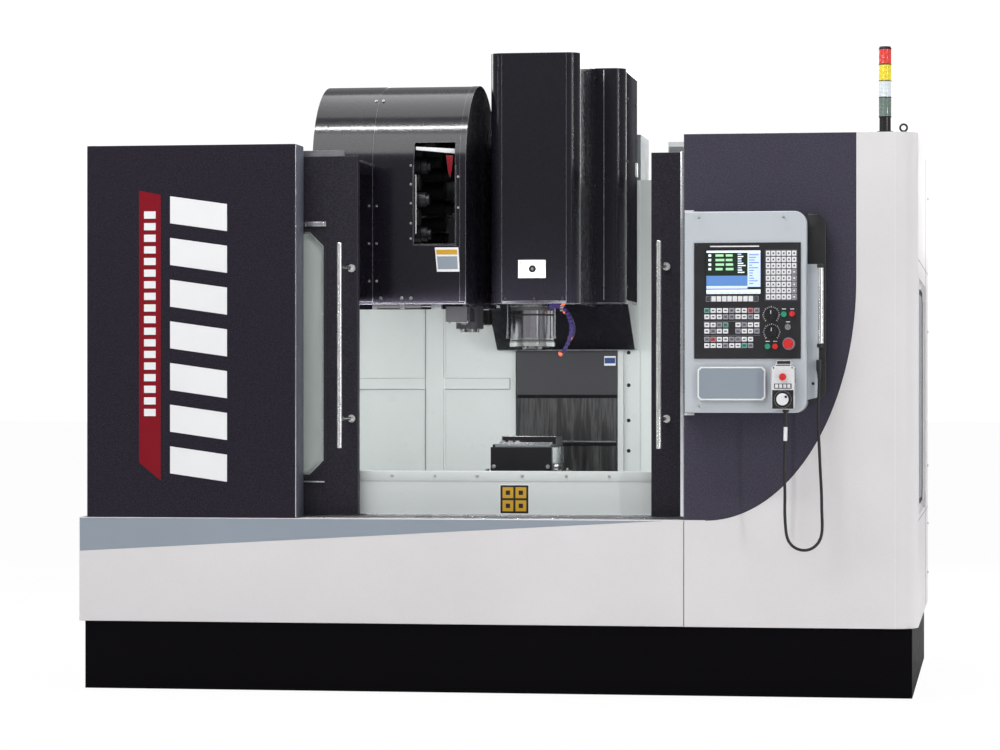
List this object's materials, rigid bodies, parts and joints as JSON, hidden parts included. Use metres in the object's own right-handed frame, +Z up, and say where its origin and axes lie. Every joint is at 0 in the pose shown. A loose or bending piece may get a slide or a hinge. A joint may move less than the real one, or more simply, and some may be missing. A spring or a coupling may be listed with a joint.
{
  "type": "cnc machining center",
  "caption": "Vertical machining centre with sliding doors, moving table and head, arm tool changer, swivelling control panel and handwheel pendant.",
  "frame": {"origin": "on the floor, under the middle of the whole machine", "axes": "+Z up, +X to the right seen from the front, the doors face -Y"},
  "size_m": [3.444, 2.53, 2.681],
  "materials": {
    "base_black": "satin black",
    "casting_grey": "painted casting, machined ways",
    "shell_white": "fine textured off-white powder coat",
    "cabinet_charcoal": "fine textured charcoal powder coat",
    "accent_charcoal": "fine textured dark grey powder coat",
    "inner_white": "pale grey-green paint",
    "track_steel": "ground steel",
    "motor_black": "satin black",
    "door_charcoal": "fine textured charcoal powder coat",
    "window_glass": "laminated safety glass",
    "handle_chrome": "polished",
    "screw_steel": "ground thread",
    "table_iron": "ground",
    "fixture_steel": "blackened, ground top",
    "head_black": "satin near-black",
    "spindle_steel": "ground and polished",
    "hose_blue": "moulded",
    "way_cover_steel": "brushed sheet",
    "cover_grey": "satin grey",
    "pot_black": "moulded",
    "arm_black": "blackened steel",
    "electric_grey": "pale grey",
    "switch_red": "moulded",
    "lens": "translucent tiers",
    "panel_grey": "smooth light grey",
    "face_black": "printed overlay",
    "knob_black": "moulded",
    "button_green": "moulded",
    "button_red": "moulded",
    "key_metal": "nickel",
    "pendant_white": "moulded",
    "cord_black": "moulded jacket",
    "gland_black": "moulded"
  },
  "bodies": {
    "machine_base": {"plinth": "base_black", "bed_casting": "casting_grey", "column_casting": "casting_grey", "axis_motors": "motor_black", "front_skirt": "shell_white", "left_cabinet_panels": "cabinet_charcoal", "right_cabinet_panels": "shell_white", "right_accent_panel": "accent_charcoal", "interior_panels": "inner_white", "door_tracks": "track_steel", "magazine_housing": "head_black", "magazine_frame": "casting_grey", "cam_box": "arm_black", "electrical_cabinet": "electric_grey", "tower_pole": "knob_black", "tower_lenses": "lens"},
    "left_door": {"left_door": "door_charcoal", "left_door_window": "window_glass", "left_door_handle": "handle_chrome"},
    "right_door": {"right_door": "door_charcoal", "right_door_window": "window_glass", "right_door_handle": "handle_chrome"},
    "saddle": {"saddle_casting": "casting_grey", "x_axis_motor": "motor_black"},
    "table": {"worktable": "table_iron", "fixture_block": "fixture_steel"},
    "x_screw": {"x_screw": "screw_steel"},
    "y_screw": {"y_screw": "screw_steel"},
    "z_screw": {"z_screw": "screw_steel"},
    "head": {"head_casting": "casting_grey", "head_cover": "head_black", "saddle_cover": "head_black", "spindle_cartridge": "spindle_steel", "spindle_motor": "motor_black", "coolant_nozzles": "hose_blue", "z_cover_top": "cover_grey"},
    "spindle": {"spindle_shaft": "spindle_steel"},
    "z_cover_middle": {"z_cover_middle": "way_cover_steel"},
    "carousel": {"carousel": "pot_black"},
    "change_pot": {"change_pot": "pot_black"},
    "arm_shaft": {"arm_shaft": "screw_steel"},
    "change_arm": {"change_arm": "arm_black"},
    "electrical_door": {"electrical_door": "electric_grey"},
    "main_switch": {"main_switch": "switch_red"},
    "control_panel": {"panel_housing": "panel_grey", "panel_face": "face_black", "panel_handle": "handle_chrome", "pendant_body": "pendant_white", "pendant_cord": "cord_black", "cord_glands": "gland_black"},
    "upper_dial": {"upper_dial": "knob_black"},
    "lower_dial": {"lower_dial": "knob_black"},
    "key_switch": {"key_switch": "key_metal"},
    "power_on_button": {"power_on_button": "button_green"},
    "power_off_button": {"power_off_button": "button_red"},
    "start_button": {"start_button": "button_green"},
    "hold_button": {"hold_button": "button_red"},
    "emergency_stop": {"emergency_stop": "button_red"},
    "pendant_dial": {"pendant_dial": "knob_black"},
    "pendant_stop": {"pendant_stop": "button_red"}
  },
  "joints": [
    {"name": "left_door_slide", "type": "slide", "parent": "machine_base", "child": "left_door", "axis": [1, 0, 0], "range_m": [0, 0.609]},
    {"name": "right_door_slide", "type": "slide", "parent": "machine_base", "child": "right_door", "axis": [-1, 0, 0], "range_m": [0, 0.609]},
    {"name": "saddle_travel", "type": "slide", "parent": "machine_base", "child": "saddle", "axis": [0, 1, 0], "range_m": [-0.26, 0.26]},
    {"name": "table_travel", "type": "slide", "parent": "saddle", "child": "table", "axis": [1, 0, 0], "range_m": [-0.48, 0.54]},
    {"name": "head_travel", "type": "slide", "parent": "machine_base", "child": "head", "axis": [0, 0, 1], "range_m": [-0.37, 0.18]},
    {"name": "x_screw_turn", "type": "hinge", "parent": "saddle", "child": "x_screw", "pos_m": [0.03, -0.145, 0.67], "axis": [1, 0, 0], "range_deg": [-15000, 17000]},
    {"name": "y_screw_turn", "type": "hinge", "parent": "machine_base", "child": "y_screw", "pos_m": [0.03, -0.145, 0.49], "axis": [0, 1, 0], "range_deg": [-8000, 8000]},
    {"name": "z_screw_turn", "type": "hinge", "parent": "machine_base", "child": "z_screw", "pos_m": [0.07, 0.715, 1.6], "axis": [0, 0, 1], "range_deg": [-11500, 6000]},
    {"name": "z_cover_travel", "type": "slide", "parent": "machine_base", "child": "z_cover_middle", "axis": [0, 0, 1], "range_m": [-0.19, 0.095]},
    {"name": "spindle_turn", "type": "hinge", "parent": "head", "child": "spindle", "pos_m": [0.03, -0.185, 1.5], "axis": [0, 0, 1], "continuous": true},
    {"name": "carousel_turn", "type": "hinge", "parent": "machine_base", "child": "carousel", "pos_m": [-0.54, -0.185, 2.05], "axis": [1, 0, 0], "continuous": true},
    {"name": "pot_flip", "type": "hinge", "parent": "carousel", "child": "change_pot", "pos_m": [-0.522, -0.185, 1.76], "axis": [0, 1, 0], "range_deg": [0, 90]},
    {"name": "arm_drop", "type": "slide", "parent": "machine_base", "child": "arm_shaft", "axis": [0, 0, -1], "range_m": [0, 0.115]},
    {"name": "arm_swing", "type": "hinge", "parent": "arm_shaft", "child": "change_arm", "pos_m": [-0.246, -0.185, 1.55], "axis": [0, 0, 1], "range_deg": [0, 55]},
    {"name": "electrical_door_hinge", "type": "hinge", "parent": "machine_base", "child": "electrical_door", "pos_m": [-0.338, 1.237, 1.4], "axis": [0, 0, 1], "range_deg": [0, 110]},
    {"name": "main_switch_turn", "type": "hinge", "parent": "electrical_door", "child": "main_switch", "pos_m": [0.35, 1.245, 1.7], "axis": [0, 1, 0], "range_deg": [0, 90]},
    {"name": "panel_swing", "type": "hinge", "parent": "machine_base", "child": "control_panel", "pos_m": [0.812, -1.085, 1.546], "axis": [0, 0, -1], "range_deg": [0, 75]},
    {"name": "upper_dial_turn", "type": "hinge", "parent": "control_panel", "child": "upper_dial", "pos_m": [1.148, -1.185, 1.5345], "axis": [0, 1, 0], "range_deg": [-135, 135]},
    {"name": "lower_dial_turn", "type": "hinge", "parent": "control_panel", "child": "lower_dial", "pos_m": [1.15, -1.185, 1.466], "axis": [0, 1, 0], "range_deg": [-135, 135]},
    {"name": "key_switch_turn", "type": "hinge", "parent": "control_panel", "child": "key_switch", "pos_m": [1.2146, -1.185, 1.486], "axis": [0, 1, 0], "range_deg": [0, 90]},
    {"name": "power_on_button_press", "type": "slide", "parent": "control_panel", "child": "power_on_button", "axis": [0, 1, 0], "range_m": [0, 0.003], "stiffness_N_per_m": 600},
    {"name": "power_off_button_press", "type": "slide", "parent": "control_panel", "child": "power_off_button", "axis": [0, 1, 0], "range_m": [0, 0.003], "stiffness_N_per_m": 600},
    {"name": "start_button_press", "type": "slide", "parent": "control_panel", "child": "start_button", "axis": [0, 1, 0], "range_m": [0, 0.003], "stiffness_N_per_m": 600},
    {"name": "hold_button_press", "type": "slide", "parent": "control_panel", "child": "hold_button", "axis": [0, 1, 0], "range_m": [0, 0.003], "stiffness_N_per_m": 600},
    {"name": "emergency_stop_press", "type": "slide", "parent": "control_panel", "child": "emergency_stop", "axis": [0, 1, 0], "range_m": [0, 0.0035]},
    {"name": "pendant_dial_turn", "type": "hinge", "parent": "control_panel", "child": "pendant_dial", "pos_m": [1.1985, -1.245, 1.2], "axis": [0, 1, 0], "continuous": true},
    {"name": "pendant_stop_press", "type": "slide", "parent": "control_panel", "child": "pendant_stop", "axis": [0, 1, 0], "range_m": [0, 0.0035]}
  ],
  "couplings": [
    {"joint": "x_screw_turn", "follows": "table_travel", "rad_per_m": 523.6},
    {"joint": "y_screw_turn", "follows": "saddle_travel", "rad_per_m": 523.6},
    {"joint": "z_screw_turn", "follows": "head_travel", "rad_per_m": 523.6},
    {"joint": "z_cover_travel", "follows": "head_travel", "ratio": 0.5}
  ]
}
